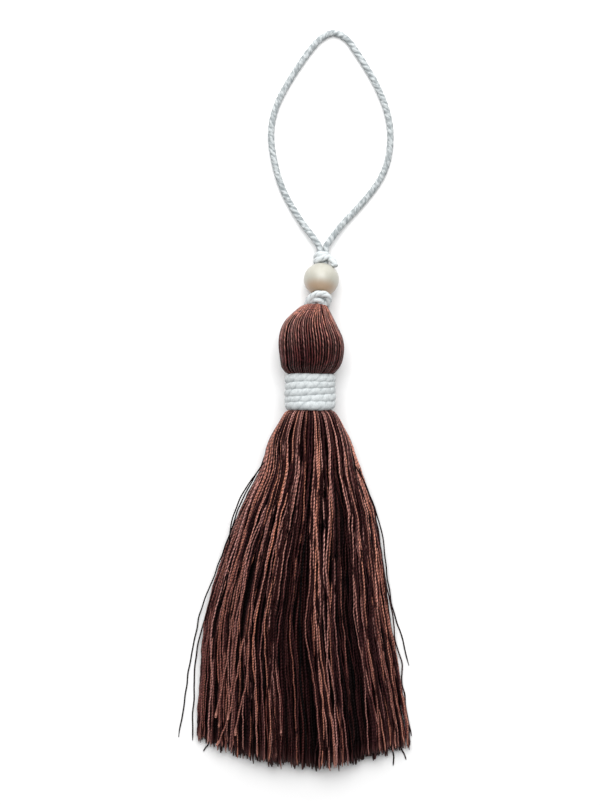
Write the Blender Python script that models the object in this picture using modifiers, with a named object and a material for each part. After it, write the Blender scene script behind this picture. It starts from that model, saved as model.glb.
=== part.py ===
"""Yarn tassel with a bound neck, a threaded bead and a hanging loop, lying on its back.

Metres, +Z up. The origin is on the surface that the tassel lies on, under the middle of the
tassel without its loop. +Y runs towards the loop. Tables are in millimetres.
"""

import math
from collections import namedtuple

import bmesh
import bpy
import numpy as np
from mathutils import Matrix, Vector

MM = 0.001
GAP = 0.3  # mm between pieces that touch on the real tassel

CORD_WIDTH = 1.8  # mm, the white twisted cord
CORD_RADIUS = CORD_WIDTH / 2

BEAD_CENTRE = Vector((5.1, 64.2, 5.15))  # mm
BEAD_TURN = 6.0  # degrees that the bead's bore is turned to the right, seen from above
BEAD_DIP = 20.0  # degrees that its loop end dips towards the surface
BEAD_RADIUS = 4.9
BEAD_HALF_LENGTH = 4.6
BORE_RADIUS = 1.85
BORE_LIP = 0.25  # rounding of the bore's edge

BINDING_TURNS = 5
BINDING_CENTRE = Vector((1.95, 33.05, 7.25))
BINDING_PITCH = 1.88  # mm from turn to turn
BINDING_TILT = 0.5  # degrees that its left side sits higher up the neck
BINDING_RADIUS = 6.18  # to the middle of the cord

NECK_RADIUS = BINDING_RADIUS - CORD_RADIUS - GAP - 0.05
NECK_STATIONS = (38.1, 36.0, 30.0, 28.0)  # mm, from the head to the skirt
FAN_SAG = 6.1  # mm by which the skirt's middle hangs below its two corners
LOCK_DEPTH = 0.2  # of the skirt's height, at its end
HEAD_DEPTH = 0.035  # of the head's height, between its bundles of yarn
POINTS_OVER = 54  # round the top of a section of the yarn
POINTS_UNDER = 12
RING_STEP = 4.0  # mm between sections of the skirt

LOOP_POINTS = 66
# Where the loop's cord runs, from the left of the upper knot round to its right.
LOOP_ROUTE = [
    (4.55, 71.9, 2.75),
    (4.05, 73.9, 2.55),
    (3.15, 75.3, 2.4),
    (0.1, 79.7, 1.7),
    (-2.8, 84.2, 1.15),
    (-5.2, 88.6, 0.92),
    (-6.9, 93.1, 0.92),
    (-8.0, 97.5, 0.92),
    (-8.75, 102.0, 0.92),
    (-8.8, 106.5, 0.92),
    (-8.0, 110.9, 0.92),
    (-6.3, 115.3, 0.92),
    (-3.8, 119.8, 0.92),
    (-1.0, 124.2, 0.92),
    (2.1, 128.5, 0.92),
    (5.1, 131.7, 0.92),
    (8.6, 133.2, 0.92),
    (12.1, 131.6, 0.92),
    (14.5, 128.5, 0.92),
    (17.3, 124.2, 0.92),
    (19.9, 119.8, 0.92),
    (22.0, 115.3, 0.92),
    (23.5, 110.9, 0.92),
    (24.3, 106.4, 0.92),
    (24.3, 101.9, 0.92),
    (23.6, 97.5, 0.92),
    (21.9, 93.1, 0.92),
    (18.9, 88.6, 0.92),
    (15.1, 84.2, 1.15),
    (10.9, 79.7, 1.7),
    (7.9, 75.3, 2.4),
    (6.95, 73.9, 2.55),
    (6.6, 71.9, 2.75),
]

# Sections of the yarn from the fold at the top of the head to the cut ends: how far along
# the tassel, its sides, the lowest and highest points of the section's ellipse, in mm.
# What an ellipse has below the surface is pressed flat on it.
Section = namedtuple("Section", "along left right low high")
HEAD = [
    Section(57.3, 0.9, 6.3, 5.3, 10.6),
    Section(56.5, -0.9, 6.9, 4.0, 12.2),
    Section(55.3, -2.4, 7.5, 2.6, 13.7),
    Section(53.1, -4.8, 8.6, 0.9, 15.7),
    Section(50.8, -6.1, 9.7, -0.1, 17.0),
    Section(48.6, -6.7, 10.8, -0.5, 17.6),
    Section(46.4, -6.9, 11.4, -0.6, 17.8),
    Section(44.2, -6.7, 11.4, -0.5, 17.6),
    Section(41.9, -6.4, 11.1, -0.3, 17.0),
    Section(40.0, -6.1, 10.2, 0.1, 15.8),
    Section(38.4, -5.2, 9.1, 1.1, 14.0),
]
SKIRT = [
    Section(27.7, -4.9, 8.8, 1.1, 13.4),
    Section(26.3, -5.7, 9.7, 0.3, 13.9),
    Section(24.2, -6.9, 10.8, -0.8, 13.9),
    Section(19.7, -9.5, 13.1, -2.2, 13.2),
    Section(15.3, -11.2, 14.8, -3.2, 12.3),
    Section(10.8, -13.2, 16.4, -3.8, 11.5),
    Section(6.4, -15.6, 18.1, -4.2, 10.8),
    Section(-0.3, -18.9, 20.2, -4.4, 10.0),
    Section(-11.4, -23.1, 21.9, -4.3, 9.0),
    Section(-20.3, -25.8, 23.2, -4.1, 8.3),
    Section(-29.2, -28.2, 24.2, -3.9, 7.8),
    Section(-38.1, -29.2, 25.8, -3.7, 7.3),
    Section(-46.9, -29.6, 27.2, -3.5, 6.9),
    Section(-55.8, -30.2, 28.7, -3.3, 6.5),
    Section(-64.0, -30.6, 30.6, -3.1, 6.2),
]

# The skirt's locks from left to right: the right edge of each, from -1 to 1 across the
# skirt, and how much longer or shorter its cut end is, in mm.
Lock = namedtuple("Lock", "edge longer")
LOCKS = [
    Lock(-0.86, 0.4),
    Lock(-0.7, -0.8),
    Lock(-0.49, 0.3),
    Lock(-0.33, 0.9),
    Lock(-0.12, -0.4),
    Lock(0.02, 0.6),
    Lock(0.24, 1.2),
    Lock(0.37, -0.5),
    Lock(0.6, 0.4),
    Lock(0.77, -0.9),
    Lock(1.0, 0.3),
]


def clear_scene():
    for old in list(bpy.data.objects):
        bpy.data.objects.remove(old, do_unlink=True)


def new_collection(name, hidden=False):
    made = bpy.data.collections.new(name)
    made.hide_render = hidden
    bpy.context.scene.collection.children.link(made)
    return made


def new_material(name, colour, roughness, metallic=0.0):
    material = bpy.data.materials.new(name)
    material.use_nodes = True
    shader = material.node_tree.nodes["Principled BSDF"]
    shader.inputs["Base Color"].default_value = (*colour, 1.0)
    shader.inputs["Roughness"].default_value = roughness
    shader.inputs["Metallic"].default_value = metallic
    return material


def mesh_object(name, mesh, collection, material):
    made = bpy.data.objects.new(name, mesh)
    mesh.materials.append(material)
    mesh.shade_smooth()
    mesh.set_sharp_from_angle(angle=math.radians(50))
    collection.objects.link(made)
    return made


def smooth_route(route, count):
    """count points, evenly spaced, on the Catmull-Rom curve through the route's own points."""
    knots = np.array(route, dtype=float)
    padded = np.vstack([2 * knots[0] - knots[1], knots, 2 * knots[-1] - knots[-2]])
    a, b, c, d = padded[:-3], padded[1:-2], padded[2:-1], padded[3:]
    t = np.linspace(0, 1, 24, endpoint=False)[:, None, None]
    spans = b + 0.5 * t * (c - a + t * (2 * a - 5 * b + 4 * c - d + t * (3 * (b - c) + d - a)))
    fine = np.vstack([spans.transpose(1, 0, 2).reshape(-1, 3), knots[-1]])
    walked = np.concatenate([[0], np.cumsum(np.linalg.norm(np.diff(fine, axis=0), axis=1))])
    even = np.linspace(0, walked[-1], count)
    return np.column_stack([np.interp(even, walked, fine[:, axis]) for axis in range(3)])


def tube(name, points, radius, collection, material):
    """A cord through the points, in mm, with closed ends, as a curve object."""
    curve = bpy.data.curves.new(name, "CURVE")
    curve.dimensions = "3D"
    curve.bevel_depth = radius * MM
    curve.bevel_resolution = 2
    curve.use_fill_caps = True
    spline = curve.splines.new("POLY")
    spline.points.add(len(points) - 1)
    for point, place in zip(spline.points, points):
        point.co = (*(Vector(place) * MM), 1.0)
    curve.materials.append(material)
    made = bpy.data.objects.new(name, curve)
    collection.objects.link(made)
    return made


def tube_mesh(name, points, radius, collection, material):
    """The same cord as a welded mesh, ready for a Boolean."""
    curve_object = tube(name + "_curve", points, radius, collection, material)
    bpy.context.view_layer.update()
    evaluated = curve_object.evaluated_get(bpy.context.evaluated_depsgraph_get())
    mesh = bpy.data.meshes.new_from_object(evaluated)
    bpy.data.objects.remove(curve_object, do_unlink=True)
    shape = bmesh.new()
    shape.from_mesh(mesh)
    bmesh.ops.remove_doubles(shape, verts=shape.verts, dist=0.001 * MM)
    shape.to_mesh(mesh)
    shape.free()
    mesh.name = name
    mesh.materials.clear()
    return mesh_object(name, mesh, collection, material)


def join_onto(target, helpers):
    """Fuses each helper with the target, as one body."""
    for helper in helpers:
        helper.hide_render = True
        helper.display_type = "WIRE"
        union = target.modifiers.new("join " + helper.name, "BOOLEAN")
        union.operation = "UNION"
        union.object = helper


def turned(name, profile, steps, collection, material):
    """A closed profile of (radius, height) in mm, turned once round the object's own Z."""
    count = len(profile)
    mesh = bpy.data.meshes.new(name)
    points = [(radius * MM, 0.0, height * MM) for radius, height in profile]
    edges = [(i, (i + 1) % count) for i in range(count)]
    mesh.from_pydata(points, edges, [])
    made = bpy.data.objects.new(name, mesh)
    mesh.materials.append(material)
    collection.objects.link(made)
    screw = made.modifiers.new("turn", "SCREW")
    screw.axis = "Z"
    screw.steps = steps
    screw.render_steps = steps
    screw.use_merge_vertices = True
    screw.merge_threshold = 0.00001
    screw.use_smooth_shade = True
    return made


def bead_axes():
    """The bead's own right, along-the-bore and upward directions."""
    turn = Matrix.Rotation(math.radians(-BEAD_TURN), 3, "Z")
    dip = Matrix.Rotation(math.radians(-BEAD_DIP), 3, "X")
    return turn @ dip


def by_bead(right, along, up):
    """A place in mm, given by the bead's own directions from its middle."""
    return BEAD_CENTRE + bead_axes() @ Vector((right, along, up))


def place_turned(target, centre, axis, right):
    """Puts a turned piece at centre, with its own Z along axis."""
    side = axis.cross(right)
    turn = Matrix((right, side, axis)).transposed()
    target.location = centre * MM
    target.rotation_euler = turn.to_euler()


def make_bead(collection, material):
    rim = math.acos((BORE_RADIUS + BORE_LIP) / BEAD_RADIUS)
    angles = [rim - 2 * rim * i / 18 for i in range(19)]
    outside = [(BEAD_RADIUS * math.cos(t), BEAD_HALF_LENGTH * math.sin(t)) for t in angles]
    wall = outside[0][1] - BORE_LIP / 2
    profile = [(BORE_RADIUS, wall), *outside, (BORE_RADIUS, -wall)]
    bead = turned("bead", profile, 32, collection, material)
    axes = bead_axes()
    place_turned(bead, BEAD_CENTRE, axes.col[1].copy(), axes.col[0].copy())


def make_binding(collection, material):
    first = (BINDING_TURNS - 1) / 2 * BINDING_PITCH
    lobe = [72, 36, 0, -36, -72]
    profile = []
    for turn in range(BINDING_TURNS):
        middle = first - turn * BINDING_PITCH
        over = [180, 144, 108] if turn == 0 else []
        under = [-108, -144, -180] if turn == BINDING_TURNS - 1 else []
        for degrees in over + lobe + under:
            angle = math.radians(degrees)
            reach = BINDING_RADIUS + CORD_RADIUS * math.cos(angle)
            profile.append((reach, middle + CORD_RADIUS * math.sin(angle)))
    binding = turned("neck_binding", profile, 36, collection, material)
    tilt = Matrix.Rotation(math.radians(-BINDING_TILT), 3, "Z")
    place_turned(binding, BINDING_CENTRE, tilt.col[1].copy(), tilt.col[0].copy())


def lock_crown(across):
    """1 on the middle of a lock and 0 in the groove between two, for -1 to 1 across."""
    edges = np.array([-1.0] + [lock.edge for lock in LOCKS])
    lock = np.clip(np.searchsorted(edges, across, side="right") - 1, 0, len(LOCKS) - 1)
    within = (across - edges[lock]) / (edges[lock + 1] - edges[lock])
    return np.sqrt(np.clip(np.sin(np.pi * within), 0, 1)), lock


def section_ring(section, evenness, depth, sag, ragged):
    """One closed section of the yarn. evenness is 0 for points evenly round it, 1 for evenly across."""
    over = np.linspace(0, 1, POINTS_OVER, endpoint=False)
    under = np.linspace(0, 1, POINTS_UNDER, endpoint=False)
    top = (1 - evenness) * np.cos(np.pi * over) + evenness * (1 - 2 * over)
    across = np.concatenate([top, -np.cos(np.pi * under)])
    side = np.concatenate([np.ones(POINTS_OVER), -np.ones(POINTS_UNDER)])
    crown, lock = lock_crown(across)
    rise = side * np.sqrt(np.clip(1 - across**2, 0, 1))
    rise = np.where(side > 0, rise * (1 - depth * (1 - crown)), rise)
    half = (section.right - section.left) / 2
    x = section.left + half * (1 + across)
    z = (section.low + section.high) / 2 + rise * (section.high - section.low) / 2
    longer = np.array([row.longer for row in LOCKS])[lock]
    y = section.along - sag * (1 - across**2) - ragged * (longer + 1.2 * crown - 0.6)
    return np.column_stack([x, y, np.maximum(z, 0)])


def between(first, last, share):
    return Section(*(a + share * (b - a) for a, b in zip(first, last)))


def yarn_rings():
    rings = [section_ring(section, 0, HEAD_DEPTH, 0, 0) for section in HEAD]
    centre = BINDING_CENTRE
    sides = (centre.x - NECK_RADIUS, centre.x + NECK_RADIUS)
    heights = (centre.z - NECK_RADIUS, centre.z + NECK_RADIUS)
    for along in NECK_STATIONS:
        rings.append(section_ring(Section(along, *sides, *heights), 0, 0, 0, 0))
    start, end = SKIRT[0].along, SKIRT[-1].along
    stations = [SKIRT[0]]
    for first, last in zip(SKIRT, SKIRT[1:]):
        steps = math.ceil((first.along - last.along) / RING_STEP)
        stations += [between(first, last, (i + 1) / steps) for i in range(steps)]
    for station in stations:
        share = (start - station.along) / (start - end)
        evenness = min(0.65, 3 * share)
        depth = LOCK_DEPTH * min(1, 0.25 + share)
        ragged = max(0.0, 1 - (station.along - end) / RING_STEP)
        rings.append(section_ring(station, evenness, depth, FAN_SAG * share**1.5, ragged))
    return rings


def make_yarn(collection, material):
    """A loft through the sections, closed at the fold and at the cut ends."""
    shape = bmesh.new()
    rings = [[shape.verts.new(Vector(p) * MM) for p in ring] for ring in yarn_rings()]
    count = len(rings[0])
    for near, far in zip(rings, rings[1:]):
        for i in range(count):
            j = (i + 1) % count
            shape.faces.new((near[i], near[j], far[j], far[i]))
    for ring, inward in ((rings[0], -0.9), (rings[-1], 1.0)):
        middle = sum((vert.co for vert in ring), Vector()) / count
        tip = shape.verts.new(middle + Vector((0, inward * MM, 0)))
        for i in range(count):
            shape.faces.new((ring[i], ring[(i + 1) % count], tip))
    bmesh.ops.recalc_face_normals(shape, faces=shape.faces)
    mesh = bpy.data.meshes.new("yarn_bundle")
    shape.to_mesh(mesh)
    shape.free()
    mesh_object("yarn_bundle", mesh, collection, material)


def collar(name, centre, lean, collection, material):
    """One turn of the cord pulled tight on itself."""
    bpy.ops.mesh.primitive_torus_add(
        major_radius=(CORD_RADIUS + 0.15) * MM,
        minor_radius=CORD_RADIUS * MM,
        major_segments=18,
        minor_segments=10,
    )
    made = bpy.context.object
    made.name = name
    made.data.materials.append(material)
    for home in list(made.users_collection):
        home.objects.unlink(made)
    collection.objects.link(made)
    axes = bead_axes()
    axis = (axes @ Vector((math.sin(math.radians(lean)), math.cos(math.radians(lean)), 0))).normalized()
    right = axis.cross(axes.col[2]).normalized()
    place_turned(made, by_bead(*centre), axis, right)
    return made


def make_upper_knot(parts, helpers, material):
    """Two turns pulled tight on the doubled cord, and the cut end on the bead's shoulder."""
    left = [(4.6, 71.9 - GAP, 2.8), (4.85, 70.3, 3.05), by_bead(-0.35, 4.5, 0)]
    right = [(6.55, 71.9 - GAP, 2.8), (6.3, 70.3, 3.05), by_bead(0.35, 4.5, 0)]
    end = [(6.2, 70.4, 3.5), (7.7, 70.6, 4.6), (9.0, 69.8, 5.4), (9.7, 68.6, 5.9)]
    knot = tube_mesh("upper_knot", smooth_route(left, 8), CORD_RADIUS, parts, material)
    join_onto(
        knot,
        [
            tube_mesh("upper_run", smooth_route(right, 8), CORD_RADIUS * 0.98, helpers, material),
            collar("upper_turn", (-0.1, 6.15, 0), 8, helpers, material),
            collar("upper_turn_below", (0.1, 5.3, 0.1), -9, helpers, material),
            tube_mesh("upper_end", smooth_route(end, 9), CORD_RADIUS * 1.02, helpers, material),
        ],
    )


def make_lower_knot(parts, helpers, material):
    """The cord's two legs out of the bore, the turn over them, and the run through the bead."""
    thread = [by_bead(0, -6.2, 0.2), by_bead(0, -3, 0), by_bead(0, 4.1, 0)]
    turn = [
        by_bead(-2.0, -6.7, 0.9),
        by_bead(-1.9, -6.0, 2.2),
        by_bead(-0.6, -5.6, 2.95),
        by_bead(1.1, -5.6, 2.85),
        by_bead(2.1, -6.2, 2.1),
        by_bead(1.7, -6.9, 1.2),
    ]
    leg = [by_bead(0.3, -5.6, -0.2), by_bead(-1.0, -6.3, 0.4), by_bead(-1.9, -7.0, 1.3)]
    knot = tube_mesh("lower_knot", thread, BORE_RADIUS - GAP - 0.05, parts, material)
    join_onto(
        knot,
        [
            tube_mesh("lower_turn", smooth_route(turn, 16), CORD_RADIUS, helpers, material),
            tube_mesh("lower_leg", smooth_route(leg, 8), CORD_RADIUS * 1.15, helpers, material),
            collar("lower_collar", (0, -5.9, 0.7), -6, helpers, material),
        ],
    )


def main():
    clear_scene()
    parts = new_collection("tassel")
    helpers = new_collection("helpers", hidden=True)
    cord = new_material("white twisted cotton cord", (0.6, 0.63, 0.63), 0.85)
    yarn = new_material("dark brown plied yarn", (0.05, 0.016, 0.013), 0.7)
    lacquer = new_material("cream lacquered wood", (0.72, 0.68, 0.56), 0.3)
    route = smooth_route(LOOP_ROUTE, LOOP_POINTS)
    tube("loop_cord", route, CORD_RADIUS, parts, cord)
    make_upper_knot(parts, helpers, cord)
    make_bead(parts, lacquer)
    make_lower_knot(parts, helpers, cord)
    make_yarn(parts, yarn)
    make_binding(parts, cord)


main()
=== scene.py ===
import math

import bpy
import numpy as np
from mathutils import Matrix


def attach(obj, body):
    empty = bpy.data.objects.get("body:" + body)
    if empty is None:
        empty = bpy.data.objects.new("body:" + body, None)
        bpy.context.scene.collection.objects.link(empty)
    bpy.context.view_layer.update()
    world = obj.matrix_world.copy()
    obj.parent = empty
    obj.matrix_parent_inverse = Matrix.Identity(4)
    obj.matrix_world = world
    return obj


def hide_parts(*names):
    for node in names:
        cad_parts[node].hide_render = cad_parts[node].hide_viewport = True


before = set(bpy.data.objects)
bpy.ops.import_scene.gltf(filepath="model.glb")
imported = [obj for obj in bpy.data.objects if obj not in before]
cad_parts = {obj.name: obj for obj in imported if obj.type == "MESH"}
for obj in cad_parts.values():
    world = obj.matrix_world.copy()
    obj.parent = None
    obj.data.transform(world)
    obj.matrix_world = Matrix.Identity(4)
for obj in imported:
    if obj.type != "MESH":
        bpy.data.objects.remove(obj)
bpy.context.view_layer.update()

# A yarn tassel on its back: cord loop, two knots, lacquered bead, yarn head, bound neck and skirt.
# Lengths in the dictionaries are millimetres; meshes are written in metres.
mm = 0.001
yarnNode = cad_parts["yarn_bundle"]
roll = np.random.default_rng(11)


def linear(code, alpha=1.0):
    # sRGB hex to linear: c / 12.92 below 0.04045, else ((c + 0.055) / 1.055) ^ 2.4
    parts = [int(code[i:i + 2], 16) / 255 for i in (1, 3, 5)]
    return (*[c / 12.92 if c <= 0.04045 else ((c + 0.055) / 1.055) ** 2.4 for c in parts], alpha)


def addNode(tree, kind, sets=None, links=None):
    # one node; a name in sets that the node has is a setting, any other is an input's value
    node = tree.nodes.new(kind)
    for key, value in (sets or {}).items():
        if isinstance(key, str) and hasattr(node, key):
            setattr(node, key, value)
        else:
            node.inputs[key].default_value = value
    for key, socket in (links or {}).items():
        tree.links.new(socket, node.inputs[key])
    return node


def newMaterial(name, **sockets):
    # a Principled material with constants on the shader's own sockets
    material = bpy.data.materials.new(name)
    material.use_nodes = True
    shader = material.node_tree.nodes["Principled BSDF"]
    for key, value in sockets.items():
        shader.inputs[key.replace("_", " ")].default_value = value
    return material, material.node_tree, shader


def unit(vectors):
    # each vector over its own length
    return vectors / np.maximum(np.linalg.norm(vectors, axis=-1, keepdims=True), 1e-12)


def ease(x, start, end):
    # 3t^2 - 2t^3 with t = (x - start) / (end - start), held to 0..1
    t = np.clip((x - start) / (end - start), 0, 1)
    return t * t * (3 - 2 * t)


def between(a, b, c, d, t):
    # Catmull-Rom from b to c: b + t/2 (c - a + t (2a - 5b + 4c - d + t (3b - 3c + d - a)))
    return b + 0.5 * t * (c - a + t * (2 * a - 5 * b + 4 * c - d + t * (3 * (b - c) + d - a)))


def evenRoute(route, count):
    # Catmull-Rom through the route, 40 steps a span, then read at count places an even length apart
    knots = np.array(route, dtype=float)
    padded = np.vstack([2 * knots[0] - knots[1], knots, 2 * knots[-1] - knots[-2]])
    a, b, c, d = padded[:-3], padded[1:-2], padded[2:-1], padded[3:]
    t = np.linspace(0, 1, 40, endpoint=False)[:, None, None]
    spans = between(a, b, c, d, t)
    fine = np.vstack([spans.transpose(1, 0, 2).reshape(-1, 3), knots[-1]])
    walked = np.concatenate([[0], np.cumsum(np.linalg.norm(np.diff(fine, axis=0), axis=1))])
    even = np.linspace(0, walked[-1], count)
    return np.column_stack([np.interp(even, walked, fine[:, axis]) for axis in range(3)])


def evenFill(rows, fine):
    # Catmull-Rom through rows that stand at whole numbers, read at the places in fine
    padded = np.vstack([2 * rows[0] - rows[1], rows, 2 * rows[-1] - rows[-2]])
    i = np.clip(fine.astype(int), 0, len(rows) - 2)
    return between(padded[i], padded[i + 1], padded[i + 2], padded[i + 3], (fine - i)[:, None])


def walkedLength(paths):
    # length walked along each path to each of its points
    steps = np.linalg.norm(np.diff(paths, axis=-2), axis=-1)
    return np.concatenate([np.zeros(steps.shape[:-1] + (1,)), np.cumsum(steps, axis=-1)], axis=-1)


def sweep(paths, radius, towards, turn=0.0):
    # point(s, m, k) = path(s, m) + radius(s, m, k) * (cos(a) side + sin(a) up), a = 2 pi k / K + turn,
    # side = tangent x towards, up = side x tangent; s counts strands, m stations, k points round
    around = radius.shape[-1]
    tangent = unit(np.gradient(paths, axis=1))
    side = unit(np.cross(tangent, np.broadcast_to(towards, paths.shape)))
    up = np.cross(side, tangent)
    angle = 2 * np.pi * np.arange(around) / around + np.asarray(turn)[..., None]
    ring = np.cos(angle)[..., None] * side[:, :, None] + np.sin(angle)[..., None] * up[:, :, None]
    return paths[:, :, None] + radius[..., None] * ring


def setPoints(mesh, key, values):
    mesh.attributes.new(key, "FLOAT", "POINT").data.foreach_set("value", values.astype(np.float32).ravel())


def strandMesh(name, points, along, material, pointData=None):
    # closed tubes from points (strand, station, round), all in one mesh; uv is (share of the way round, mm along)
    strands, stations, around = points.shape[:3]
    index = np.arange(strands * stations * around).reshape(strands, stations, around)
    after = np.roll(index, -1, axis=2)
    quads = np.stack([index[:, :-1], index[:, 1:], after[:, 1:], after[:, :-1]], axis=-1).reshape(-1, 4)
    caps = np.concatenate([index[:, 0], index[:, -1, ::-1]])
    u = np.broadcast_to(np.arange(around) / around, index.shape)
    v = np.broadcast_to(along[..., None], index.shape)
    us = np.stack([u[:, :-1], u[:, 1:], u[:, 1:] + 1 / around, u[:, :-1] + 1 / around], axis=-1)
    vs = np.stack([v[:, :-1], v[:, 1:], v[:, 1:], v[:, :-1]], axis=-1)
    capUv = np.stack([u.reshape(-1)[caps], v.reshape(-1)[caps]], axis=-1).reshape(-1, 2)
    uvs = np.concatenate([np.stack([us, vs], axis=-1).reshape(-1, 2), capUv])
    loops = np.concatenate([quads.reshape(-1), caps.reshape(-1)])
    starts = np.concatenate([np.arange(len(quads)) * 4, len(quads) * 4 + np.arange(len(caps)) * around])
    mesh = bpy.data.meshes.new(name)
    mesh.vertices.add(points.size // 3)
    mesh.vertices.foreach_set("co", (points * mm).astype(np.float32).ravel())
    mesh.loops.add(len(loops))
    mesh.loops.foreach_set("vertex_index", loops.astype(np.int32))
    mesh.polygons.add(len(starts))
    mesh.polygons.foreach_set("loop_start", starts.astype(np.int32))
    mesh.update(calc_edges=True)
    mesh.uv_layers.new(name="around").data.foreach_set("uv", uvs.astype(np.float32).ravel())
    for key, values in (pointData or {}).items():
        setPoints(mesh, key, np.broadcast_to(values.reshape(values.shape + (1,) * (3 - values.ndim)), index.shape))
    mesh.shade_smooth()
    mesh.materials.append(material)
    made = bpy.data.objects.new(name, mesh)
    bpy.context.scene.collection.objects.link(made)
    return made


def pliedYarn():
    # mercerised cotton, plied from two ends and dyed dark brown: slanting plies with painted shade in their grooves and
    # a painted highlight on their crowns, and a dull gloss on the browner yarns; lay is mm for a turn of the plies,
    # coarser than life so that it shows, and warm and cool run from the darkest yarn (tone 0) to the palest (tone 1)
    looks = {"lay": (1.3, 2.3), "warm": ("#050708", "#501f1b", "#be7b63"), "cool": ("#060809", "#421c23", "#a98487"),
             "highlight": "#edc0b0", "sheen": "#a87868", "gloss": (0.04, 1.0), "plyShade": (0.2, 1.55),
             "fibreShade": (0.12, 1.9), "fibreSize": (9.0, 2.0, 1.0), "fibreHeight": 0.3, "relief": 0.1}
    material, tree, shader = newMaterial(
        "mercerisedCottonYarn", Roughness=0.38, Specular_Tint=linear(looks["highlight"]),
        Sheen_Weight=0.03, Sheen_Roughness=0.4, Sheen_Tint=linear(looks["sheen"]))
    uv = addNode(tree, "ShaderNodeUVMap", {"uv_map": "around"})
    place = addNode(tree, "ShaderNodeSeparateXYZ", links={0: uv.outputs[0]})
    tone = addNode(tree, "ShaderNodeAttribute", {"attribute_name": "tone"})
    tint = addNode(tree, "ShaderNodeAttribute", {"attribute_name": "tint"})
    # plies: |sin pi (u + 2 v / lay + start)| is 1 on a ply and 0 in the groove; each strand has its own lay and start
    pace = addNode(tree, "ShaderNodeMapRange", {"To Min": 1 / looks["lay"][0], "To Max": 1 / looks["lay"][1]},
                   {"Value": tint.outputs["Fac"]})
    start = addNode(tree, "ShaderNodeMath", {"operation": "MULTIPLY", 1: 37.0}, {0: tone.outputs["Fac"]})
    wound = addNode(tree, "ShaderNodeMath", {"operation": "MULTIPLY_ADD", 1: 0.5},
                    {0: place.outputs["X"], 2: start.outputs[0]})
    phase = addNode(tree, "ShaderNodeMath", {"operation": "MULTIPLY_ADD"},
                    {0: place.outputs["Y"], 1: pace.outputs[0], 2: wound.outputs[0]})
    angle = addNode(tree, "ShaderNodeMath", {"operation": "MULTIPLY", 1: 2 * math.pi}, {0: phase.outputs[0]})
    wave = addNode(tree, "ShaderNodeMath", {"operation": "SINE"}, {0: angle.outputs[0]})
    lobe = addNode(tree, "ShaderNodeMath", {"operation": "ABSOLUTE"}, {0: wave.outputs[0]})
    crown = addNode(tree, "ShaderNodeMath", {"operation": "POWER", 1: 1.3}, {0: lobe.outputs[0]})
    # fibres: noise drawn out along the yarn, another patch of it on every strand
    stretch = addNode(tree, "ShaderNodeMapping", {"vector_type": "POINT", "Scale": looks["fibreSize"]},
                      {"Vector": uv.outputs[0]})
    own = addNode(tree, "ShaderNodeVectorMath", {"operation": "SCALE", "Scale": 40.0}, {0: tone.outputs["Vector"]})
    shift = addNode(tree, "ShaderNodeVectorMath", {"operation": "ADD"}, {0: stretch.outputs[0], 1: own.outputs[0]})
    fibre = addNode(tree, "ShaderNodeTexNoise", {"Scale": 1.0, "Detail": 3.0}, {"Vector": shift.outputs[0]})
    # the dye: tone along the warm and the cool run, mixed by tint, then darkened in the ply grooves and lifted on the
    # ply crowns as painted shade and painted highlight, and varied by fibres
    dyes = []
    for deep, brown, light in (looks["warm"], looks["cool"]):
        dye = addNode(tree, "ShaderNodeValToRGB", links={"Fac": tone.outputs["Fac"]})
        ramp = dye.color_ramp.elements
        ramp[0].color, ramp[1].color = linear(deep), linear(light)
        ramp.new(0.5).color = linear(brown)
        dyes.append(dye)
    dyed = addNode(tree, "ShaderNodeMix", {"data_type": "RGBA"},
                   {"Factor": tint.outputs["Fac"], "A": dyes[0].outputs[0], "B": dyes[1].outputs[0]})
    shade = addNode(tree, "ShaderNodeMapRange", {"To Min": looks["plyShade"][0], "To Max": looks["plyShade"][1]},
                    {"Value": crown.outputs[0]})
    faint, strong = looks["fibreShade"]
    streak = addNode(tree, "ShaderNodeMapRange", {"From Min": 0.3, "From Max": 0.7, "To Min": faint, "To Max": strong},
                     {"Value": fibre.outputs["Fac"]})
    both = addNode(tree, "ShaderNodeMath", {"operation": "MULTIPLY"}, {0: shade.outputs[0], 1: streak.outputs[0]})
    colour = addNode(tree, "ShaderNodeVectorMath", {"operation": "SCALE"},
                     {0: dyed.outputs["Result"], "Scale": both.outputs[0]})
    tree.links.new(colour.outputs[0], shader.inputs["Base Color"])
    # the black yarns are matt, and the browner a yarn is the glossier
    gloss = addNode(tree, "ShaderNodeMapRange",
                    {"From Min": 0.08, "From Max": 0.5, "To Min": looks["gloss"][0], "To Max": looks["gloss"][1]},
                    {"Value": tone.outputs["Fac"]})
    tree.links.new(gloss.outputs[0], shader.inputs["Specular IOR Level"])
    height = addNode(tree, "ShaderNodeMath", {"operation": "MULTIPLY_ADD", 1: looks["fibreHeight"]},
                     {0: fibre.outputs["Fac"], 2: crown.outputs[0]})
    bump = addNode(tree, "ShaderNodeBump", {"Strength": 0.8, "Distance": looks["relief"] * mm},
                   {"Height": height.outputs[0]})
    tree.links.new(bump.outputs[0], shader.inputs["Normal"])
    return material


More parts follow.
